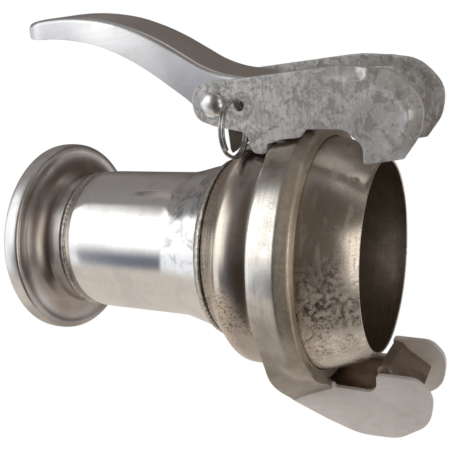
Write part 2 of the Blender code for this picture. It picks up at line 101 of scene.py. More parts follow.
def metal(
    name, base, shade, pit, rough, span=0.1, stain=45.0, patch=(0.42, 0.62), pits=(0.60, 0.70, 0.5),
    pit_scale=700.0, brush=((40, 900, 900), 0.3), edge=0.5, edge_r=0.0005, bump=0.25, metallic=1.0,
    scratch=0.35, band=None, dull=None,
):
    """Bare or plated metal: two-tone staining, pitting, brush marks, fine scratches and rubbed edges."""
    mat = bpy.data.materials.new(name)
    mat.use_nodes = True
    g = Graph(mat.node_tree)
    bsdf = mat.node_tree.nodes["Principled BSDF"]
    at = g.add("ShaderNodeTexCoord").outputs["Object"]
    cloud = g.noise(at, stain, 6, 0.62, 0.3)
    fine = g.noise(at, pit_scale, 3, 0.6)
    grain = g.noise(g.stretch(at, brush[0]), 1.0, 4, 0.6)
    wide = g.noise(at, stain * 0.33, 3, 0.5)
    tone = g.ramp(cloud, patch[0], patch[1])
    # pits gather where the cloud is thick
    gather = g.ramp(wide, 0.42, 0.6)
    spot = g.ramp(g.math("ADD", fine, g.math("MULTIPLY", gather, 0.08)), pits[0], pits[1])
    spot = g.math("MULTIPLY", spot, pits[2])
    hair = g.noise(g.stretch(at, (2600, 60, 500)), 1.0, 2, 0.5, 1.5)
    hair = g.math("MULTIPLY", g.ramp(hair, 0.66, 0.72), scratch)
    geo = g.add("ShaderNodeNewGeometry")
    bevel = g.add("ShaderNodeBevel", samples=4)
    bevel.inputs["Radius"].default_value = edge_r
    dot = g.add("ShaderNodeVectorMath", operation="DOT_PRODUCT")
    g.put(dot.inputs[0], bevel.outputs[0])
    g.put(dot.inputs[1], geo.outputs["Normal"])
    rim = g.ramp(dot.outputs["Value"], 0.995, 0.86)
    rim = g.math("MULTIPLY", rim, g.ramp(fine, 0.35, 0.6, 0.45, 1.0))
    rim = g.math("MULTIPLY", rim, edge)
    colour = g.mix(tone, base, shade)
    colour = g.mix(g.math("MULTIPLY", g.ramp(grain, 0.4, 0.7), brush[1]), colour, pit)
    colour = g.mix(spot, colour, pit)
    colour = g.mix(hair, colour, [min(1, c * 1.25) for c in base])
    if band is not None:
        colour = band(g, at, colour)
    colour = g.mix(rim, colour, [min(1, c * 1.3 + 0.08) for c in base])
    g.put(bsdf.inputs["Base Color"], colour)
    r = g.math("MULTIPLY_ADD", g.math("SUBTRACT", cloud, 0.5), span * 2, rough)
    r = g.math("MULTIPLY_ADD", spot, 0.22, r)
    r = g.math("MULTIPLY_ADD", g.math("SUBTRACT", grain, 0.5), span, r)
    if dull is not None:
        mask = dull(g, at)
        r = g.math("MULTIPLY_ADD", mask, 0.22, r)
        g.put(bsdf.inputs["Metallic"], g.math("MULTIPLY_ADD", mask, -0.6 * metallic, metallic))
    r = g.math("MULTIPLY_ADD", rim, -0.1, r, clamp=True)
    g.put(bsdf.inputs["Roughness"], r)
    height = g.math("MULTIPLY_ADD", grain, brush[1], g.math("MULTIPLY", fine, 0.35))
    height = g.math("MULTIPLY_ADD", spot, -0.5, height)
    height = g.math("MULTIPLY_ADD", cloud, 0.9, height)
    node = g.add("ShaderNodeBump")
    node.inputs["Strength"].default_value = bump
    node.inputs["Distance"].default_value = 0.0003
    g.put(node.inputs["Height"], height)
    g.put(node.inputs["Normal"], bevel.outputs[0])
    g.put(bsdf.inputs["Normal"], node.outputs[0])
    if dull is None:
        bsdf.inputs["Metallic"].default_value = metallic
    return mat


def rubber(name):
    mat = bpy.data.materials.new(name)
    mat.use_nodes = True
    g = Graph(mat.node_tree)
    bsdf = mat.node_tree.nodes["Principled BSDF"]
    at = g.add("ShaderNodeTexCoord").outputs["Object"]
    dust = g.ramp(g.noise(at, 160, 5), 0.5, 0.7)
    g.put(bsdf.inputs["Base Color"], g.mix(dust, (0.016, 0.015, 0.014), (0.05, 0.046, 0.042)))
    g.put(bsdf.inputs["Roughness"], g.math("MULTIPLY_ADD", dust, 0.25, 0.55))
    node = g.add("ShaderNodeBump")
    node.inputs["Strength"].default_value = 0.3
    node.inputs["Distance"].default_value = 0.0002
    g.put(node.inputs["Height"], g.noise(at, 1800, 3))
    g.put(bsdf.inputs["Normal"], node.outputs[0])
    return mat


def axis_of(g, at, axis):
    """One coordinate of the texture position, in metres."""
    node = g.add("ShaderNodeSeparateXYZ")
    g.put(node.inputs[0], at)
    return node.outputs[axis]


def ring_tint(g, at, colour):
    """A yellowed front edge, painted shade on the top where the claws shade the ring, and painted shade
    darkening the strap below.
    """
    x, z = axis_of(g, at, 0), axis_of(g, at, 2)
    blotch = g.noise(at, 70, 4)
    yellow = g.math("MULTIPLY", g.ramp(x, 0.0015, 0.005), g.ramp(blotch, 0.3, 0.6, 0.6, 1.0))
    colour = g.mix(g.math("MULTIPLY", yellow, 0.7), colour, (0.66, 0.55, 0.40))
    # painted shade: the ring's top is darkened where the claws shade it
    shade = g.math("MULTIPLY", g.ramp(z, 0.044, 0.056), g.ramp(blotch, 0.35, 0.6, 0.6, 0.9))
    colour = g.mix(shade, colour, (0.33, 0.285, 0.24))
    # painted shade: the strap is darkened towards its bottom, on its underside
    low = g.math("MULTIPLY", g.ramp(z, 0.010, -0.022), g.ramp(blotch, 0.35, 0.65, 0.65, 1.0))
    return g.mix(g.math("MULTIPLY", low, 0.9), colour, (0.31, 0.265, 0.22))


def ring_dull(g, at):
    """Matt in front of the crown's ridge and down the straps."""
    x, z = axis_of(g, at, 0), axis_of(g, at, 2)
    grain = g.ramp(g.noise(at, 500, 3), 0.3, 0.7, 0.6, 1.0)
    front = g.math("MULTIPLY", g.ramp(x, 0.0015, 0.004), 0.75)
    low = g.math("MULTIPLY", g.ramp(z, 0.010, -0.024), 0.9)
    return g.math("MULTIPLY", g.math("MAXIMUM", front, low), grain)


def ball_tint(g, at, colour):
    """Brownish painted shade by the ring, a painted shadow belt behind it, painted shade on the ball's top,
    and dark grains low on the ball.
    """
    x, z = axis_of(g, at, 0), axis_of(g, at, 2)
    # painted shade: brownish darkening of the ball next to the ring's front
    near_ring = g.ramp(x, 0.022, 0.010)
    colour = g.mix(g.math("MULTIPLY", near_ring, 0.4), colour, (0.60, 0.50, 0.38))
    shadow = g.math("MULTIPLY", g.ramp(x, -0.0265, -0.0225), g.ramp(x, -0.008, -0.011))
    colour = g.mix(g.math("MULTIPLY", shadow, 0.6), colour, (0.34, 0.31, 0.29))
    # painted shade: the ball's upper front is darkened where the claws shade it
    high = g.math("MULTIPLY", g.ramp(z, 0.006, 0.032), g.ramp(x, 0.002, 0.012))
    colour = g.mix(g.math("MULTIPLY", high, 0.5), colour, (0.40, 0.345, 0.29))
    grains = g.ramp(g.noise(at, 950, 3, 0.6), 0.50, 0.60)
    patch = g.ramp(g.noise(at, 75, 4, 0.6), 0.42, 0.56)
    low = g.math("MULTIPLY", g.ramp(z, 0.010, -0.008), g.ramp(z, -0.036, -0.026))
    mask = g.math("MULTIPLY", g.math("MULTIPLY", grains, patch), low)
    return g.mix(g.math("MULTIPLY", mask, 0.85), colour, (0.17, 0.135, 0.11))


def ball_dull(g, at):
    """A mottled belt is duller than the rest of the ball, and wisps of haze lie above it."""
    x, z = axis_of(g, at, 0), axis_of(g, at, 2)
    belt = g.math("MULTIPLY", g.ramp(z, 0.024, -0.004), g.ramp(z, -0.046, -0.030))
    grain = g.ramp(g.noise(at, 420, 4, 0.65), 0.36, 0.62)
    wisp = g.ramp(g.noise(g.stretch(at, (260, 90, 90)), 1.0, 4, 0.6), 0.52, 0.66)
    belt = g.math("MULTIPLY", belt, grain)
    mask = g.math("MAXIMUM", belt, g.math("MULTIPLY", wisp, 0.35))
    return g.math("MULTIPLY", mask, g.ramp(x, 0.002, 0.012))


def flare_stain(g, at, colour):
    """Blue-grey heat stain where the tube flares into the ball."""
    x, z = axis_of(g, at, 0), axis_of(g, at, 2)
    place = g.math("MULTIPLY", g.ramp(x, -0.070, -0.062), g.ramp(z, -0.004, 0.014))
    blotch = g.ramp(g.noise(at, 110, 6, 0.65, 0.6), 0.44, 0.58)
    return g.mix(g.math("MULTIPLY", g.math("MULTIPLY", place, blotch), 0.75), colour, (0.36, 0.37, 0.41))


def rim_tint(g, at, colour):
    """Brownish painted shade in the dish of the rim, and painted shade low on the rim."""
    x, z = axis_of(g, at, 0), axis_of(g, at, 2)
    # painted shade: brownish darkening in the dish, the recess between the rim and its neck
    dish = g.math("MULTIPLY", g.ramp(x, -0.1462, -0.1440), g.ramp(x, -0.1345, -0.1375))
    shade_mottle = g.ramp(g.noise(at, 60, 4), 0.3, 0.6, 0.7, 1.0)
    colour = g.mix(g.math("MULTIPLY", dish, shade_mottle), colour, (0.40, 0.35, 0.32))
    # painted shade: the rim is darkened towards its bottom
    low = g.math("MULTIPLY", g.ramp(z, -0.012, -0.042), shade_mottle)
    return g.mix(g.math("MULTIPLY", low, 0.9), colour, (0.36, 0.325, 0.295))


def claw_tint(g, at, colour):
    """Galvanised spangle: dark flakes and pale streaks, and a blotchy painted shade darkening towards the
    nose.
    """
    x = axis_of(g, at, 0)
    cloud = g.noise(g.stretch(at, (60, 60, 90)), 1.0, 4, 0.6)
    # painted shade: blotchy darkening towards the nose, where the light falls off
    nose = g.math("MULTIPLY", g.ramp(x, -0.030, 0.045), g.ramp(cloud, 0.35, 0.6, 0.2, 0.65))
    colour = g.mix(nose, colour, (0.60, 0.57, 0.54))
    dark = g.ramp(g.noise(at, 150, 5, 0.7, 0.8), 0.50, 0.58)
    colour = g.mix(g.math("MULTIPLY", dark, 0.62), colour, (0.34, 0.335, 0.33))
    pale = g.ramp(g.noise(g.stretch(at, (520, 520, 170)), 1.0, 4, 0.65, 0.5), 0.56, 0.66)
    return g.mix(g.math("MULTIPLY", pale, 0.7), colour, (1.0, 1.0, 1.0))


def claw_dull(g, at):
    """The zinc is matt and pale by the rivet, and shinier towards the nose."""
    cloud = g.noise(at, 120, 4, 0.6)
    return g.math("MULTIPLY", g.ramp(axis_of(g, at, 0), 0.030, -0.035), g.ramp(cloud, 0.35, 0.6, 0.6, 1.0))


def handle_tint(g, at, colour):
    """The flanges are painted greyer at the tip of the lever, a painted shade that tones down the
    reflection there.
    """
    # painted shade at the lever's tip; this noise only mottles it
    haze = g.ramp(g.noise(at, 60, 4), 0.3, 0.6, 0.6, 1.0)
    end = g.math("MULTIPLY", g.ramp(axis_of(g, at, 0), -0.100, -0.125), haze)
    return g.mix(end, colour, (0.60, 0.60, 0.63))


LOOKS = {
    "bright_steel": metal(
        "bright_steel", (0.86, 0.85, 0.83), (0.76, 0.75, 0.74), (0.34, 0.33, 0.33), 0.13, 0.10,
        stain=38, pits=(0.66, 0.78, 0.3), brush=((1400, 25, 25), 0.08), bump=0.10, scratch=0.3,
        band=flare_stain,
    ),
    "rim_steel": metal(
        "rim_steel", (0.86, 0.85, 0.83), (0.72, 0.71, 0.70), (0.34, 0.32, 0.31), 0.32, 0.12,
        stain=60, pits=(0.64, 0.76, 0.35), brush=((1200, 25, 25), 0.10), bump=0.12, scratch=0.3,
        band=rim_tint,
    ),
    "ball_steel": metal(
        "ball_steel", (0.80, 0.74, 0.67), (0.68, 0.62, 0.54), (0.26, 0.21, 0.17), 0.23, 0.12,
        stain=55, patch=(0.45, 0.66), pits=(0.60, 0.74, 0.35), pit_scale=1100,
        brush=((1100, 30, 30), 0.12), bump=0.14, band=ball_tint, dull=ball_dull,
    ),
    "ring_steel": metal(
        "ring_steel", (0.80, 0.77, 0.71), (0.62, 0.59, 0.54), (0.26, 0.23, 0.19), 0.22, 0.12,
        stain=60, pits=(0.61, 0.74, 0.4), pit_scale=1000, brush=((900, 40, 40), 0.18), bump=0.18,
        band=ring_tint, dull=ring_dull,
    ),
    "claw_zinc": metal(
        "claw_zinc", (1.0, 1.0, 1.0), (0.80, 0.81, 0.80), (0.36, 0.36, 0.35), 0.34, 0.12,
        stain=130, patch=(0.44, 0.58), pits=(0.56, 0.68, 0.6), pit_scale=520,
        brush=((800, 800, 50), 0.35), edge=1.0, edge_r=0.0009, bump=0.45, metallic=0.4, scratch=0.6,
        band=claw_tint, dull=claw_dull,
    ),
    "hook_zinc": metal(
        "hook_zinc", (1.0, 0.97, 0.935), (0.93, 0.89, 0.85), (0.50, 0.46, 0.42), 0.38, 0.08,
        stain=60, pits=(0.66, 0.76, 0.35), brush=((160, 900, 500), 0.14), bump=0.15, metallic=0.1,
        edge=1.0, edge_r=0.0008,
    ),
    "handle_zinc": metal(
        "handle_zinc", (0.93, 0.93, 0.93), (0.84, 0.83, 0.82), (0.48, 0.45, 0.43), 0.30, 0.08,
        stain=50, pits=(0.68, 0.78, 0.3), brush=((50, 800, 800), 0.10), bump=0.12,
        band=handle_tint,
    ),
    "rivet_steel": metal(
        "rivet_steel", (0.88, 0.88, 0.87), (0.76, 0.76, 0.75), (0.38, 0.37, 0.36), 0.30, 0.08,
        stain=300, pits=(0.62, 0.72, 0.3), brush=((400, 400, 400), 0.1), bump=0.1,
    ),
    "ring_wire": metal(
        "ring_wire", (0.52, 0.52, 0.51), (0.30, 0.29, 0.28), (0.12, 0.11, 0.10), 0.20, 0.08,
        stain=260, pits=(0.58, 0.70, 0.5), brush=((400, 400, 400), 0.1), bump=0.1,
    ),
    "weld_bead": metal(
        "weld_bead", (0.76, 0.73, 0.69), (0.58, 0.54, 0.49), (0.26, 0.22, 0.19), 0.34, 0.14,
        stain=160, pits=(0.55, 0.66, 0.6), brush=((900, 900, 900), 0.3), bump=0.5,
    ),
    # painted shade: a dark brown copy of the steel for the cross web and tray, which lie in shade between
    # the hook plates
    "shaded_web_steel": metal(
        "shaded_web_steel", (0.43, 0.34, 0.27), (0.31, 0.25, 0.20), (0.16, 0.12, 0.10), 0.42, 0.1,
        stain=60, pits=(0.62, 0.72, 0.4), brush=((300, 700, 300), 0.25), edge=0.7, bump=0.15,
    ),
    # painted shade: near-black steel for the lever's heel, which sits in the claws' shade
    "heel_shade_steel": metal(
        "heel_shade_steel", (0.15, 0.125, 0.10), (0.11, 0.09, 0.075), (0.06, 0.05, 0.04), 0.45, 0.1,
        stain=90, pits=(0.62, 0.72, 0.4), brush=((300, 700, 300), 0.25), edge=0.4, bump=0.2,
    ),
    # painted shade: a dark brown copy of the steel for the insides of the pipe, which lie in shade
    "inside_shade_steel": metal(
        "inside_shade_steel", (0.45, 0.385, 0.315), (0.35, 0.295, 0.235), (0.18, 0.145, 0.11), 0.46, 0.1,
        stain=60, pits=(0.6, 0.7, 0.4), brush=((900, 30, 30), 0.25), bump=0.15,
    ),
    "seal_rubber": rubber("seal_rubber"),
}


# --- Mesh helpers, in mm ---------------------------------------------------------------------
def finish(name, bm, look, body, replaces=(), sharp=35, extra=()):
    """Closes a bmesh into a piece that rides on a body; extra adds further looks by index."""
    bmesh.ops.remove_doubles(bm, verts=bm.verts, dist=1e-3)
    bmesh.ops.recalc_face_normals(bm, faces=bm.faces)
    bmesh.ops.scale(bm, vec=(MM, MM, MM), verts=bm.verts)
    mesh = bpy.data.meshes.new(name)
    bm.to_mesh(mesh)
    bm.free()
    mesh.shade_smooth()
    mesh.set_sharp_from_angle(angle=math.radians(sharp))
    obj = bpy.data.objects.new(name, mesh)
    scene.collection.objects.link(obj)
    for item in (look, *extra):
        mesh.materials.append(LOOKS[item])
    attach(obj, body)
    if replaces:
        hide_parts(*replaces)
    return obj


def smooth(points, per=6, closed=False):
    """A Catmull-Rom curve through the points, each a tuple."""
    out = []
    n = len(points)
    pts = [Vector(p) for p in points]
    for i in range(n if closed else n - 1):
        p0 = pts[(i - 1) % n] if closed or i else pts[i]
        p1, p2 = pts[i], pts[(i + 1) % n]
        p3 = pts[(i + 2) % n] if closed or i + 2 < n else p2
        for k in range(per):
            t = k / per
            out.append(0.5 * (2 * p1 + (p2 - p0) * t + (2 * p0 - 5 * p1 + 4 * p2 - p3) * t * t
                              + (3 * p1 - p0 - 3 * p2 + p3) * t**3))
    if not closed:
        out.append(pts[-1])
    return [tuple(p) for p in out]


def turned(name, profile, look, body, replaces=(), steps=160, sharp=35, bead=None, inner_from=None):
    """A closed (x, radius) profile, spun a full turn about X.

    bead moves each point by its angle, and from inner_from on the faces have the inside's painted-shade
    look.
    """
    bm = bmesh.new()
    rings = []
    for k in range(steps):
        t = 2 * math.pi * k / steps
        row = []
        for a, r in profile:
            if bead:
                a, r = bead(a, r, t)
            row.append(bm.verts.new((a, r * math.cos(t), r * math.sin(t))))
        rings.append(row)
    n = len(profile)
    for k in range(steps):
        one, two = rings[k], rings[(k + 1) % steps]
        for i in range(n):
            j = (i + 1) % n
            face = bm.faces.new((one[i], one[j], two[j], two[i]))
            if inner_from is not None and i >= inner_from:
                face.material_index = 1
    extra = () if inner_from is None else ("inside_shade_steel",)
    return finish(name, bm, look, body, replaces, sharp, extra)


def dome(name, profile, look, body, replaces, centre, steps=64):
    """A solid about Y from a smooth open (along, radius) profile that ends on the axis."""
    bm = bmesh.new()
    rings = []
    for a, r in profile:
        if r < 1e-6:
            rings.append([bm.verts.new(Vector(centre) + Vector((0, a, 0)))])
        else:
            rings.append([
                bm.verts.new(Vector(centre) + Vector((r * math.cos(t), a, r * math.sin(t))))
                for t in (2 * math.pi * k / steps for k in range(steps))
            ])
    for one, two in zip(rings, rings[1:]):
        for k in range(steps):
            n = (k + 1) % steps
            if len(one) == 1:
                bm.faces.new((one[0], two[k], two[n]))
            elif len(two) == 1:
                bm.faces.new((one[k], two[0], one[n]))
            else:
                bm.faces.new((one[k], two[k], two[n], one[n]))
    return finish(name, bm, look, body, replaces)


def filleted(corners, step=math.radians(6)):
    """Outline points of a polygon whose (x, z, radius) corners are rounded off."""
    points = []
    for i, (x, z, radius) in enumerate(corners):
        here = Vector((x, z))
        back = Vector(corners[i - 1][:2]) - here
        on = Vector(corners[(i + 1) % len(corners)][:2]) - here
        turn = math.pi - back.angle(on)
        reach = min(radius * math.tan(turn / 2), 0.49 * back.length, 0.49 * on.length)
        if radius <= 0 or turn < 1e-3:
            points.append(here)
            continue
        radius = reach / math.tan(turn / 2)
        a, b = here + back.normalized() * reach, here + on.normalized() * reach
        middle = here + (back.normalized() + on.normalized()).normalized() * (radius / math.cos(turn / 2))
        steps = max(1, math.ceil(turn / step))
        va, vb = a - middle, b - middle
        sweep = math.atan2(va.x * vb.y - va.y * vb.x, va.dot(vb))
        points += [middle + Matrix.Rotation(sweep * k / steps, 2) @ va for k in range(steps + 1)]
    return [(p.x, p.y) for p in points]


def loft_rows(bm, rows):
    """Joins closed rows of equal length into a skin, and caps both ends."""
    made = [[bm.verts.new(p) for p in row] for row in rows]
    count = len(made[0])
    for one, two in zip(made, made[1:]):
        for k in range(count):
            n = (k + 1) % count
            bm.faces.new((one[k], one[n], two[n], two[k]))
    bm.faces.new(made[0])
    bm.faces.new(list(reversed(made[-1])))


def solid(bm, name="tmp"):
    """A temporary object for a Boolean."""
    bmesh.ops.remove_doubles(bm, verts=bm.verts, dist=1e-3)
    bmesh.ops.recalc_face_normals(bm, faces=bm.faces)
    mesh = bpy.data.meshes.new(name)
    bm.to_mesh(mesh)
    bm.free()
    obj = bpy.data.objects.new(name, mesh)
    scene.collection.objects.link(obj)
    return obj


def carved(body, cutters):
    """body with the cutters taken away, as a bmesh; the helpers are removed."""
    for cutter in cutters:
        mod = body.modifiers.new("cut", "BOOLEAN")
        mod.operation, mod.solver, mod.object = "DIFFERENCE", "EXACT", cutter
    graph = bpy.context.evaluated_depsgraph_get()
    made = bpy.data.meshes.new_from_object(body.evaluated_get(graph))
    bm = bmesh.new()
    bm.from_mesh(made)
    for obj in (body, *cutters):
        bpy.data.objects.remove(obj, do_unlink=True)
    return bm


def cylinder(at, radius, y0, y1, steps=48):
    """A cylinder along Y through the (x, z) point, as a cutter for holes."""
    bm = bmesh.new()
    angles = [2 * math.pi * k / steps for k in range(steps)]
    circle = [(at[0] + radius * math.cos(t), at[1] + radius * math.sin(t)) for t in angles]
    loft_rows(bm, [[(x, y, z) for x, z in circle] for y in (y0, y1)])
    return solid(bm, "hole")


# --- Pipe parts ------------------------------------------------------------------------------
BALL_R, BALL_WALL, MOUTH_X = 56.9, 2.0, 33.2
LIP = 5.0  # the wall gets thinner over this length behind the mouth
a0, a1 = math.asin(-12.6 / BALL_R), math.asin(MOUTH_X / BALL_R)
a1_in = math.asin((MOUTH_X - LIP) / (BALL_R - BALL_WALL))
barrel = smooth([(-42.0, 44.55), (-41.3, 45.4), (-38.6, 47.3), (-35.6, 50.0), (-32.6, 53.0), (-30.4, 55.1),
                 (-28.4, 56.5), (-26.0, 57.15), (-22.5, 57.25), (-18.5, 56.7), (-15.0, 55.9)], 5)


def inset(points, depth):
    """An open profile moved inwards, towards the axis, by a wall thickness."""
    moved = []
    for i, (x, r) in enumerate(points):
        (xa, ra), (xb, rb) = points[max(i - 1, 0)], points[min(i + 1, len(points) - 1)]
        length = math.hypot(xb - xa, rb - ra)
        moved.append((x + depth * (rb - ra) / length, r - depth * (xb - xa) / length))
    return moved


def arc(radius, start, end, steps):
    """(x, radius) points on a sphere about the origin, by the angle from the equator."""
    angles = [start + (end - start) * k / steps for k in range(steps + 1)]
    return [(radius * math.sin(t), radius * math.cos(t)) for t in angles]


skin = barrel + arc(BALL_R, a0, a1, 40) + [(MOUTH_X + 0.4, 45.9), (MOUTH_X + 0.4, 45.5)]
inside = [(MOUTH_X, 45.2)] + arc(BALL_R - BALL_WALL, a1_in, a0, 20)
inside += inset(barrel, BALL_WALL)[:8:-1] + [(-39.8, 44.55)]
turned("ball_skin", skin + inside, "ball_steel", "coupling", ["ball_shell"], inner_from=len(skin))

TUBE_WALL = 1.9
outer = smooth([(-127.3, 36.9), (-124.0, 37.55), (-119.5, 37.95), (-115.0, 38.05)], 5)
outer += smooth([(-71.5, 38.05), (-68.5, 38.12), (-65.5, 38.45), (-61.0, 39.4), (-55.0, 40.95),
                 (-50.0, 42.15), (-45.0, 43.45), (-42.5, 44.15), (-38.5, 44.25)], 5)
inner = [(x, r - TUBE_WALL) for x, r in reversed(outer)]
turned("tube_skin", outer + inner, "bright_steel", "coupling", ["reducer_tube"], inner_from=len(outer))

# The rim's neck goes up inside the tube; the back of the rim has a seat for the seal
rim = [(-112.0, 35.7), (-134.0, 35.7)]
rim += smooth([(-136.0, 35.75), (-139.6, 36.6), (-142.4, 39.0), (-144.2, 42.2), (-145.2, 45.4),
               (-145.3, 47.8), (-145.0, 49.8), (-145.1, 51.6), (-145.7, 52.7), (-147.4, 53.2),
               (-150.8, 53.3), (-153.4, 52.9), (-155.0, 51.6), (-155.4, 50.4), (-154.9, 49.6)], 6)
back = [(-149.2, 49.6), (-149.2, 41.0)]
back += smooth([(-148.6, 40.2), (-145.8, 38.3), (-141.5, 34.9), (-137.5, 33.7)], 5) + [(-112.0, 33.7)]
turned("rim_skin", rim + back, "rim_steel", "coupling", ["inlet_flange"], inner_from=len(rim))


def weld(name, node, profile, waves, size=0.16):
    """A weld bead round the pipe, with the ripple that each pool of the weld leaves."""
    def ripple(a, r, t):
        wave = math.sin(t * waves + 1.5 * math.sin(t * 5))
        rough = noise.noise((a * 0.6, 9 * math.cos(t), 9 * math.sin(t)))
        return a + size * 0.4 * wave, r + size * (wave * 0.5 + rough)

    profile = smooth(profile, 3, closed=True)
    turned(name, profile, "weld_bead", "coupling", [node], steps=360, bead=ripple, sharp=80)


weld("ball_weld_bead", "ball_weld", waves=90, profile=[
    (-42.2, 44.7), (-42.2, 45.7), (-43.2, 45.8), (-44.7, 45.0), (-46.0, 43.9), (-43.9, 44.2)])
weld("inlet_weld_bead", "inlet_weld", waves=80, profile=[
    (-127.5, 36.1), (-127.4, 37.3), (-128.6, 37.6), (-130.6, 36.9), (-131.8, 36.0), (-129.5, 35.6)])
SEAL_AT, SEAL_R = (-152.4, 46.4), 2.9
angles = [2 * math.pi * k / 28 for k in range(28)]
seal = [(SEAL_AT[0] + SEAL_R * math.cos(t), SEAL_AT[1] + SEAL_R * math.sin(t)) for t in angles]
turned("seal_ring", seal, "seal_rubber", "coupling", ["inlet_seal"], steps=120)

# --- Closure ring, drawn down into the straps ------------------------------------------------
RING_X0, RING_X1, SEAT_R = -11.8, 8.8, 57.25
CROWN = smooth([(RING_X0, 60.2), (-11.5, 61.0), (-10.6, 61.75), (-8.5, 62.25), (-5.0, 62.8),
                (-1.5, 63.35), (0.8, 63.65), (1.9, 63.75), (2.9, 63.6), (4.4, 63.15), (6.4, 62.6),
                (7.8, 62.0), (8.6, 61.2), (RING_X1, 60.2)], 4)
HOOK_Y, HOOK_T = 19.2, 3.0
# The strap's outer line at its rear edge and at its front edge, (y, z) outwards from the ring
REAR_LINE = [(50.4, -36.5), (46.6, -46.4), (41.0, -54.2), (33.8, -61.7), (26.6, -68.2), (23.0, -71.6),
             (21.0, -73.6), (19.4, -75.0)]
FRONT_LINE = [(44.0, -44.0), (38.4, -49.4), (34.0, -53.2), (29.0, -56.4), (24.9, -59.0), (22.8, -60.8),
              (20.9, -62.8), (19.4, -64.8)]
# How much of the ring's crown is left at each of those points
CROWN_LEFT = (0.55, 0.4, 0.25, 0.12, 0, 0, 0, 0)
WALL = 3.0
ARC_STEPS = 60


def band_row(x, r, s):
    """Outer path of the band at x, from the ring's top down to the strap's end; s is -1 for near."""
    w = min(max((x - RING_X0) / (RING_X1 - RING_X0), 0), 1)
    lead = math.radians(21 + 20 * w)
    angles = [math.pi / 2 - (math.pi / 2 + lead) * k / ARC_STEPS for k in range(ARC_STEPS + 1)]
    path = [(r * math.cos(t), r * math.sin(t)) for t in angles]
    tail = []
    for k, (a, b) in enumerate(zip(REAR_LINE, FRONT_LINE)):
        y, z = a[0] + (b[0] - a[0]) * w**0.85, a[1] + (b[1] - a[1]) * w**0.85
        swell = (r - 60.2) * CROWN_LEFT[k] * (1 - w)
        out = max(math.hypot(y, z) + swell, r + 0.1 if k < 3 else 0) / math.hypot(y, z)
        tail.append((y * out, z * out))
    keep = smooth([path[-3], path[-1]] + tail, 6)[6:]
    return [(x, s * y, z) for y, z in path[:-1] + keep]


def band_inner(rows, s):
    """The inside of the band: the ball seat on the ring, one wall thickness in on the strap."""
    out = []
    n = len(rows)
    start = ARC_STEPS - 5  # the seat runs into the strap's inside from here
    for k, (x, y, z) in enumerate(rows):
        seat = math.sqrt(SEAT_R**2 - x * x)
        r = math.hypot(y, z)
        if k < start:
            out.append((x, y * seat / r, z * seat / r))
            continue
        (_, ya, za), (_, yb, zb) = rows[max(k - 1, 0)], rows[min(k + 1, n - 1)]
        length = math.hypot(yb - ya, zb - za)
        iy, iz = s * (zb - za) / length * WALL, -s * (yb - ya) / length * WALL
        blend_in = min((k - start) / 12, 1)
        y1, z1 = y - s * abs(iy), z + abs(iz)
        y1 = s * max(s * y1, HOOK_Y + 0.05) if z < -56 else y1
        y0, z0 = y * seat / r, z * seat / r
        out.append((x, y0 + (y1 - y0) * blend_in, z0 + (z1 - z0) * blend_in))
    return out


for s, side in ((-1, "near"), (1, "far")):
    bm = bmesh.new()
    rows = [band_row(x, r, s) for x, r in CROWN]
    inner_rows = [band_inner(row, s) for row in rows]
    layers = [[[bm.verts.new(p) for p in row] for row in group] for group in (rows, inner_rows)]
    n, count = len(rows[0]), len(rows)
    for layer in layers:
        for one, two in zip(layer, layer[1:]):
            for k in range(n - 1):
                bm.faces.new((one[k], one[k + 1], two[k + 1], two[k]))
    out_, in_ = layers
    for i in (0, count - 1):
        for k in range(n - 1):
            bm.faces.new((out_[i][k], out_[i][k + 1], in_[i][k + 1], in_[i][k]))
    for i in range(count - 1):
        bm.faces.new((out_[i][n - 1], out_[i + 1][n - 1], in_[i + 1][n - 1], in_[i][n - 1]))
    finish(f"ring_band_{side}", bm, "ring_steel", "closure",
           ["closure_ring", f"ring_tongue_{side}"] if s < 0 else [f"ring_tongue_{side}"], sharp=50)

# The ring's lower arc, between the straps
section = [(x, r - 0.15) for x, r in CROWN]
section += arc(SEAT_R, math.radians(8.8), math.radians(-11.8), 8)
angles = [math.radians(-38 - 104 * k / 60) for k in range(61)]
bm = bmesh.new()
loft_rows(bm, [[(x, r * math.cos(t), r * math.sin(t)) for x, r in section] for t in angles])
finish("ring_belly", bm, "ring_steel", "closure", sharp=50)

# --- Hook --------------------------------------------------------------------------------------
hook = filleted([
    (-12.5, -62.0, 1), (9.4, -62.0, 1), (10.6, -63.6, 1), (31.2, -63.6, 5), (31.2, -53.6, 2),
    (50.5, -53.6, 8), (58.0, -61.5, 12), (56.0, -77.0, 14), (41.0, -87.4, 16), (22.0, -88.6, 30),
    (5.0, -82.8, 30), (-14.0, -74.8, 12), (-17.0, -69.0, 4),
])


# The far plate's tip stands a little higher than the near one's
FAR_RISE = 1.4
taller = [(x, z + FAR_RISE * min(max((z + 75) / 15, 0), 1) * (x > 31.1)) for x, z in hook]


def plate(name, outline, y0, y1, look, body, replaces=(), edge=0.5, sharp=20):
    """An (x, z) outline made solid from y0 to y1, its rims rounded by edge."""
    bm = bmesh.new()
    face = bm.faces.new([bm.verts.new((x, y0, z)) for x, z in outline])
    made = bmesh.ops.extrude_face_region(bm, geom=[face])
    moved = [v for v in made["geom"] if isinstance(v, bmesh.types.BMVert)]
    bmesh.ops.translate(bm, vec=(0, y1 - y0, 0), verts=moved)
    bmesh.ops.recalc_face_normals(bm, faces=bm.faces)
    rims = [e for e in bm.edges if abs(e.verts[0].co.y - e.verts[1].co.y) < 1e-6]
    bmesh.ops.bevel(bm, geom=rims, offset=edge, segments=3, affect="EDGES", profile=0.5)
    return finish(name, bm, look, body, replaces, sharp)


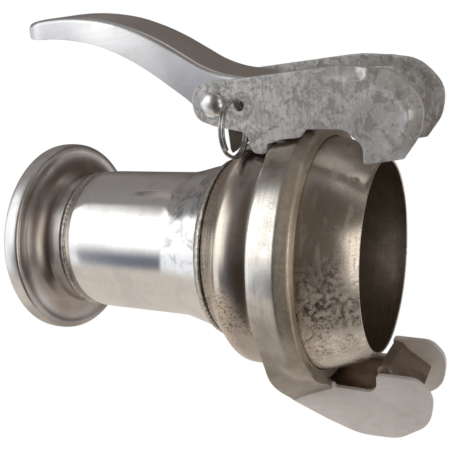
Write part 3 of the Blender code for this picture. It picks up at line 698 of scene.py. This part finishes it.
for s, side, outline in ((-1, "near", hook), (1, "far", taller)):
    plate(f"hook_side_{side}", outline, s * HOOK_Y, s * (HOOK_Y - HOOK_T), "hook_zinc", "closure",
          [f"hook_plate_{side}"])
WEB_Y = HOOK_Y - HOOK_T - 0.3
web = filleted([
    (31.2, -66.0, 0), (31.2, -50.0, 3.2), (36.4, -50.2, 3), (40.5, -58.0, 9), (50.5, -66.0, 0.6),
    (49.2, -68.2, 0.6), (38.0, -59.4, 9), (33.8, -52.5, 1.2), (33.8, -66.0, 0),
])
cross_piece = plate("hook_cross", web, -WEB_Y, WEB_Y, "shaded_web_steel", "closure", ["hook_web"])
for v in cross_piece.data.vertices:
    # its upper edge drops towards the far side
    v.co.z -= 1.8 * MM * (1 + v.co.y / 0.0159) * min(max((v.co.z + 0.060) / 0.008, 0), 1)
floor_line = filleted([
    (-11.0, -68.0, 1), (-8.0, -65.4, 3), (30.8, -65.4, 0.8), (30.8, -67.8, 0.8), (-7.0, -67.8, 3),
    (-9.4, -70.0, 1),
])
plate("hook_tray", floor_line, -WEB_Y, WEB_Y, "shaded_web_steel", "closure", ["hook_floor"])

# --- Lever -------------------------------------------------------------------------------------
PIVOT_X, PIVOT_Z, EYE = -1.5, 73.5, 9.4
RIVET = (-37.2, 77.7)
# Heel: the flanges reach down here, just clear of the ball
HEEL = [
    (-34.6, 68.4), (-34.2, 55.2), (-33.4, 53.4), (-31.8, 54.2), (-29.0, 56.9), (-25.0, 58.6),
    (-18.0, 58.8), (-15.8, 59.8), (-14.6, 62.2), (-14.0, 66.8),
]
LEVER_TOP = [
    (-149.0, 118.4), (-142.0, 121.0), (-128.0, 122.3), (-110.0, 121.4), (-92.0, 118.0), (-78.0, 113.0),
    (-66.0, 107.2), (-55.0, 100.6), (-45.0, 94.6), (-34.0, 90.4), (-18.0, 87.4), (-9.0, 85.0),
]
LEVER_LOW = [
    (-149.0, 115.2), (-140.0, 113.0), (-123.0, 112.0), (-105.0, 108.8), (-93.5, 104.8), (-83.0, 99.8),
    (-72.5, 93.4), (-63.5, 87.0), (-55.0, 80.4), (-48.0, 74.0), (-41.0, 69.8), (-34.0, 68.3),
    (-20.0, 67.3), (-9.0, 66.4),
]


def chain(points, x):
    """Height at x of a smooth curve through (x, z) points, by Catmull-Rom."""
    i = 0
    while i < len(points) - 2 and x > points[i + 1][0]:
        i += 1
    p1, p2 = points[i], points[i + 1]
    p0 = points[i - 1] if i else p1
    p3 = points[i + 2] if i + 2 < len(points) else p2
    m1, m2 = (p2[1] - p0[1]) / (p2[0] - p0[0]), (p3[1] - p1[1]) / (p3[0] - p1[0])
    span = p2[0] - p1[0]
    t = (x - p1[0]) / span
    return ((2 * t**3 - 3 * t**2 + 1) * p1[1] + (t**3 - 2 * t**2 + t) * span * m1
            + (-2 * t**3 + 3 * t**2) * p2[1] + (t**3 - t**2) * span * m2)


def lever_top(x):
    if x <= -9.0:
        return chain(LEVER_TOP, x)
    if x < PIVOT_X:
        return 85.0 + (PIVOT_Z + EYE - 85.0) * (x + 9.0) / (PIVOT_X + 9.0)
    return PIVOT_Z + math.sqrt(max(EYE**2 - (x - PIVOT_X) ** 2, 0))


def lever_low(x):
    for (x0, z0), (x1, z1) in zip(HEEL, HEEL[1:]):
        if x0 <= x <= x1:
            return z0 + (z1 - z0) * (x - x0) / (x1 - x0)
    if x <= -9.0:
        return chain(LEVER_LOW, x)
    if x < PIVOT_X:
        return 66.4 + (PIVOT_Z - EYE - 66.4) * (x + 9.0) / (PIVOT_X + 9.0)
    return PIVOT_Z - math.sqrt(max(EYE**2 - (x - PIVOT_X) ** 2, 0))


def half_width(x, radius, tip, full):
    """Half the channel's width: full, and rounded off in plan at the tip."""
    back = tip + radius - x
    return full if back <= 0 else max(math.sqrt(max(radius**2 - back**2, 0)), 0.02)


NEAR_LEAN = 0.09  # the near flange leans in towards its top by this slope, ahead of the claws


def channel(x, y, low, top, far_r, near_r, steps=7):
    """A block with rounded upper corners of two radii."""
    fr, nr = (min(v, y * 0.9, (top - low) * 0.6) for v in (far_r, near_r))
    turn = [math.pi / 2 * k / steps for k in range(steps + 1)]
    right = [(x, y - fr + fr * math.cos(t), top - fr + fr * math.sin(t)) for t in turn]
    left = [(x, -y + nr - nr * math.sin(t), top - nr + nr * math.cos(t)) for t in turn]
    lean = NEAR_LEAN * min(max((-47.0 - x) / 14.0, 0), 1)
    high = top - low
    left = [(x, v + lean * ((z - low) - 0.6 * high) * (0.5 - 0.5 * v / y), z) for x, v, z in left]
    return [(x, y, low)] + right + left + [(x, -y - lean * 0.6 * high, low)]


def spread(a, b, n):
    """n + 1 even steps from a to b."""
    return [a + (b - a) * k / n for k in range(n + 1)]


TIP_X, TIP_R, LEVER_T = -149.0, 14.5, 2.4
tip_turns = (4, 9, 15, 22, 30, 38, 47, 56, 65, 75, 84)
tip = [TIP_X + TIP_R * (1 - math.cos(math.radians(t))) for t in tip_turns]
eye = [PIVOT_X + EYE * math.sin(math.radians(t)) for t in range(0, 87, 8)]
heel = [x for x, _ in HEEL]
bm = bmesh.new()
loft_rows(bm, [channel(x, half_width(x, TIP_R, TIP_X, TIP_R), lever_low(x), lever_top(x), 2.2, 2.4)
               for x in tip + spread(-134.0, -36.0, 50) + heel + [-12.0, -9.0] + eye])
body = solid(bm)


def under_web(x):
    """Height of the web's underside."""
    slope = lever_top(x + 0.5) - lever_top(x - 0.5)
    return lever_top(x) - LEVER_T * math.sqrt(1 + slope**2)


room_x, room_r = TIP_X + LEVER_T, TIP_R - LEVER_T
room = [room_x + room_r * (1 - math.cos(math.radians(t))) for t in (10, 20, 32, 46, 62, 78)]
room += spread(-134.0, -36.0, 50) + heel + [-12.0, -10.5]
bm = bmesh.new()
rows = [channel(x, half_width(x, room_r, room_x, room_r), lever_low(x) - 6, under_web(x), 1.5, 3.0)
        for x in room]
rows += [channel(x, room_r, 50.0, 94.0, 1.5, 3.0) for x in (-10.4, PIVOT_X + 16)]
loft_rows(bm, rows)
cutters = [solid(bm, "room"), cylinder((PIVOT_X, PIVOT_Z), 4.1, -20, 20), cylinder(RIVET, 3.4, -20.5, 20.5)]
bm = carved(body, cutters)
# the heel below the flanges gets a near-black painted shade, where the claws shade it
everything = bm.verts[:] + bm.edges[:] + bm.faces[:]
bmesh.ops.bisect_plane(bm, geom=everything, plane_co=(0, 0, 67.4), plane_no=(0, 0, 1))
for face in bm.faces:
    mid = face.calc_center_median()
    if -35 < mid.x < -13 and mid.z < 68:
        face.material_index = 1
finish("lever_channel", bm, "handle_zinc", "lever", ["lever_handle"], sharp=40, extra=("heel_shade_steel",))

# --- Claws -------------------------------------------------------------------------------------
claw = filleted([
    (-47.9, 87.0, 9.6), (23.0, 92.0, 60), (45.5, 88.6, 16), (57.0, 75.5, 16), (55.2, 62.5, 16),
    (48.3, 52.5, 1), (31.2, 49.8, 1.2), (31.2, 58.0, 5), (23.5, 65.3, 7), (6.4, 65.6, 2), (3.4, 62.0, 1.5),
    (-5.5, 61.2, 8), (-12.4, 59.2, 1), (-13.0, 54.6, 2.4), (-19.8, 54.8, 3.4), (-22.0, 64.5, 4),
    (-38.0, 67.8, 14), (-47.7, 71.5, 11.5),
])
NOSE = [Vector(p) for p in claw if p[0] > 12 and (p[1] > 86 or p[0] > 47.5)]
CLAW_Y, CLAW_T = 21.3, 2.6
SPLIT_HOLE = (-24.5, 76.8)


def claw_plate(side, s, reach):
    """A claw plate with its nose pressed; the nose reaches further forward by reach."""
    bm = bmesh.new()
    bm.faces.new([bm.verts.new((x + reach * min(max((x - 24.0) / 26.0, 0), 1), 0, z)) for x, z in claw])
    cuts = [((float(x), 0, 0), (1, 0, 0)) for x in np.arange(-47, 58, 1.5)]
    cuts += [((0, 0, float(z)), (0, 0, 1)) for z in np.arange(51, 93, 1.5)]
    for point, normal in cuts:
        geom = bm.verts[:] + bm.edges[:] + bm.faces[:]
        bmesh.ops.bisect_plane(bm, geom=geom, plane_co=point, plane_no=normal)
    bmesh.ops.recalc_face_normals(bm, faces=bm.faces)
    made = bmesh.ops.extrude_face_region(bm, geom=bm.faces[:])
    moved = [v for v in made["geom"] if isinstance(v, bmesh.types.BMVert)]
    bmesh.ops.translate(bm, vec=(0, -CLAW_T * s, 0), verts=moved)
    bm = carved(solid(bm), [cylinder(RIVET, 3.4, -9, 9), cylinder(SPLIT_HOLE, 2.6, -9, 9)])
    for v in bm.verts:
        p = Vector((v.co.x - reach * min(max((v.co.x - 24.0) / 28.0, 0), 1), v.co.z))
        d = min((p - q).length for q in NOSE)
        # the rim of the nose is pressed in, and a low ridge runs inside it
        fade = min(max((v.co.x - 14) / 14, 0), 1) * min(max((v.co.z - 55) / 9, 0), 1)
        press = 2.1 * max(1 - d / 5.6, 0) ** 0.8 if d < 5.6 else 0.0
        ridge = 0.75 * math.exp(-(((d - 6.0) / 0.9) ** 2))
        v.co.y += -s * fade * (press - ridge)
        v.co.y += s * CLAW_Y
    return finish(f"claw_side_{side}", bm, "claw_zinc", "claws", [f"claw_plate_{side}"], sharp=40)


claw_plate("near", -1, reach=0.0)
claw_plate("far", 1, reach=2.0)
BASE = CLAW_Y + 0.3
angles = [math.radians(6 * k) for k in range(1, 16)]
half = [(BASE + 3.9, 0.0)] + [(BASE + 0.4 + 3.5 * math.cos(t), 6.0 * math.sin(t)) for t in angles]
half += [(BASE + 0.1, 5.9), (BASE, 5.7), (BASE, 3.1)]
line = [(-y, r) for y, r in half] + [(y, r) for y, r in reversed(half)]
dome("claw_rivet_domed", line, "rivet_steel", "claws", ["claw_rivet"], (RIVET[0], 0, RIVET[1]))

# --- Safety ring ---------------------------------------------------------------------------------
SPLIT_R, LEAN = 12.5, math.radians(42)
centre_y = -20.0 - SPLIT_R * math.sin(LEAN)
centre_z = SPLIT_HOLE[1] + 0.2 - SPLIT_R * math.cos(LEAN)
cross = math.radians(22)  # half of the stretch where the wire steps over to the second turn
rows = []
for k in range(241):
    t = cross + (4 * math.pi - 2 * cross) * k / 240
    step = min(max((t - 2 * math.pi + cross) / (2 * cross), 0), 1)
    along = 1.4 * (step * step * (3 - 2 * step) - 0.5)
    t += math.radians(235)
    ring = []
    for c in range(12):
        # the wire is flat, with well rounded corners
        ca, sa = math.cos(2 * math.pi * c / 12), math.sin(2 * math.pi * c / 12)
        r = SPLIT_R + 0.74 * math.copysign(abs(ca) ** 0.5, ca)
        x = SPLIT_HOLE[0] + along + 0.68 * math.copysign(abs(sa) ** 0.5, sa)
        ring.append((x, centre_y + r * math.cos(t), centre_z + r * math.sin(t)))
    rows.append(ring)
bm = bmesh.new()
loft_rows(bm, rows)
finish("split_ring", bm, "ring_wire", "safety_ring", ["safety_ring"], sharp=60)

# --- CAD nodes that stay, each with its own finish -------------------------------------------------
KEPT = {"lever_pin": "rivet_steel", "rivet_spacer": "bright_steel", "claw_tie_bar": "claw_zinc"}
for side in ("near", "far"):
    KEPT |= {f"hook_weld_{side}": "weld_bead", f"lug_weld_{side}": "weld_bead"}
    KEPT |= {f"lever_lug_{side}": "ring_steel", f"claw_washer_{side}": "rivet_steel"}
for name, look in KEPT.items():
    for spot in nodes[name].material_slots:
        spot.material = LOOKS[look]

# --- Studio ------------------------------------------------------------------------------------
scene.view_settings.view_transform = "Standard"
scene.view_settings.look = "None"
world = bpy.data.worlds.new("studio")
scene.world = world
world.use_nodes = True
g = Graph(world.node_tree)
way = g.add("ShaderNodeTexCoord").outputs["Generated"]
split = g.add("ShaderNodeSeparateXYZ")
g.put(split.inputs[0], way)
dx, dy, dz = split.outputs
az = g.math("ARCTAN2", dy, dx)
el = g.math("ARCSINE", dz)
rad = math.radians


def window(value, low, high, soft_low, soft_high):
    """1 between two angles in degrees, fading out over a soft edge at each end."""
    rise = g.ramp(value, rad(low - soft_low), rad(low + soft_low))
    return g.math("MULTIPLY", rise, g.ramp(value, rad(high + soft_high), rad(high - soft_high)))


def softbox(colour, azimuths, elevations, radiance, tint, edges=(3, 3, 3, 3)):
    """Adds a softbox to the sky, given by the angles it covers."""
    mask = g.math("MULTIPLY", window(az, *azimuths, *edges[:2]), window(el, *elevations, *edges[2:]))
    return g.mix(mask, colour, [radiance * c for c in tint])


front = window(az, -103, -8, 5, 6)
back_side = g.ramp(dy, -0.05, 0.25)
band = g.mix(front, (0.17, 0.18, 0.225), (0.055, 0.042, 0.033))
band = g.mix(g.ramp(az, rad(-127), rad(-136)), band, (0.98, 1.0, 1.04))
back = g.mix(g.ramp(az, rad(112), rad(132)), (0.13, 0.107, 0.093), (0.24, 0.22, 0.215))
band = g.mix(back_side, band, (0.14, 0.115, 0.10))
above = g.mix(front, (0.27, 0.262, 0.258), (0.13, 0.112, 0.098))
above = g.mix(g.math("MULTIPLY", back_side, g.ramp(el, rad(60), rad(40))), above, back)
sky = g.mix(g.ramp(el, rad(0), rad(26)), band, above)
edge_el = g.math("MULTIPLY_ADD", front, rad(-37), rad(-21))
table = g.ramp(g.math("SUBTRACT", el, edge_el), rad(7), rad(-7))
sky = g.mix(table, sky, (0.66, 0.60, 0.545))
sky = softbox(sky, (-166, -115), (5, 49), 1.7, (1.0, 1.0, 1.0), (4, 8, 14, 11))
sky = softbox(sky, (-43, -13), (-18, 32), 1.6, (1.0, 0.94, 0.87), (3, 3, 5, 5))
sky = softbox(sky, (58, 104), (52, 76), 0.5, (1.0, 0.98, 0.96), (6, 6, 8, 8))
sky = softbox(sky, (152, 178), (-8, 6), 1.0, (1.0, 0.98, 0.96), (5, 2, 5, 5))
sky = softbox(sky, (2, 46), (-32, 2), 0.75, (0.98, 0.99, 1.03), (7, 5, 8, 8))
sky = softbox(sky, (10, 48), (40, 72), 0.9, (1.0, 0.98, 0.96), (5, 5, 8, 8))
g.put(world.node_tree.nodes["Background"].inputs[0], sky)

# Plain pale floor and backdrop, seen by the camera only
white = bpy.data.materials.new("paper")
white.use_nodes = True
wg = Graph(white.node_tree)
glow = wg.add("ShaderNodeEmission")
glow.inputs["Color"].default_value = (1.0, 1.0, 1.0, 1.0)
wg.put(white.node_tree.nodes["Material Output"].inputs[0], glow.outputs[0])


def paper(name, bm):
    mesh = bpy.data.meshes.new(name)
    bm.to_mesh(mesh)
    bm.free()
    mesh.materials.append(white)
    obj = bpy.data.objects.new(name, mesh)
    scene.collection.objects.link(obj)
    for ray in ("diffuse", "glossy", "transmission", "shadow", "volume_scatter"):
        setattr(obj, "visible_" + ray, False)


bm = bmesh.new()
bmesh.ops.create_circle(bm, cap_ends=True, segments=64, radius=8.0)
bmesh.ops.translate(bm, vec=(0, 0, -0.7), verts=bm.verts)
paper("floor", bm)
bm = bmesh.new()
bmesh.ops.create_uvsphere(bm, u_segments=48, v_segments=24, radius=9.0)
paper("backdrop", bm)

# --- Camera ------------------------------------------------------------------------------------
yaw, pitch, roll = math.radians(28.10), math.radians(18.65), math.radians(-6.8)
f = Vector((-math.sin(yaw) * math.cos(pitch), math.cos(yaw) * math.cos(pitch), -math.sin(pitch)))
r0 = Vector((math.cos(yaw), math.sin(yaw), 0))
u0 = r0.cross(f)
right = r0 * math.cos(roll) + u0 * math.sin(roll)
up = -r0 * math.sin(roll) + u0 * math.cos(roll)
data = bpy.data.cameras.new("camera")
data.sensor_width = 36.0
data.lens = 56.348
data.clip_start, data.clip_end = 0.01, 100
camera = bpy.data.objects.new("camera", data)
scene.collection.objects.link(camera)
turn = Matrix((right, up, -f)).transposed().to_4x4()
camera.matrix_world = Matrix.Translation(Vector((113.2, -305.33, 128.14)) * MM) @ turn
scene.camera = camera
